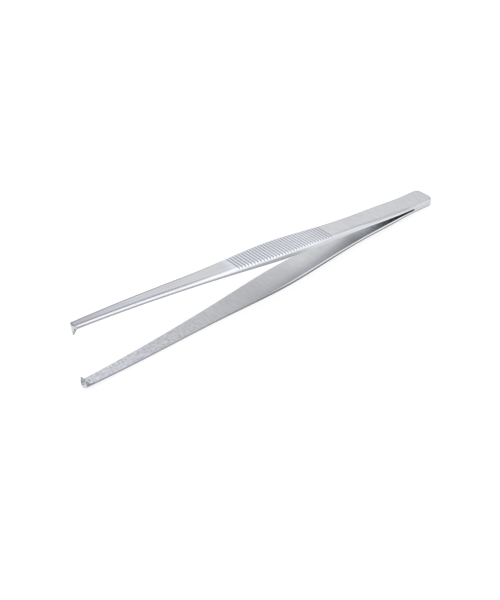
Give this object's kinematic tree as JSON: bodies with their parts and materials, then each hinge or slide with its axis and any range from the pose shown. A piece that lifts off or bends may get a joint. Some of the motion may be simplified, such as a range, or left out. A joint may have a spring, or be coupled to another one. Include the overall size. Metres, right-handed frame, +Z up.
{
  "type": "thumb forceps",
  "caption": "Toothed steel thumb forceps: two flat spring arms welded at the heel, grooved finger grips, one tooth meeting two at the tips.",
  "frame": {"origin": "centre of the bounding box on the surface that the forceps lies on", "axes": "+X from the tips to the heel, +Y across the arms, +Z up, the way the upper arm opens"},
  "size_m": [0.144, 0.0106, 0.0244],
  "materials": {
    "satin_steel": "satin, finely brushed stainless steel"
  },
  "bodies": {
    "root": {"upper_arm": "satin_steel", "lower_arm": "satin_steel"}
  },
  "joints": []
}
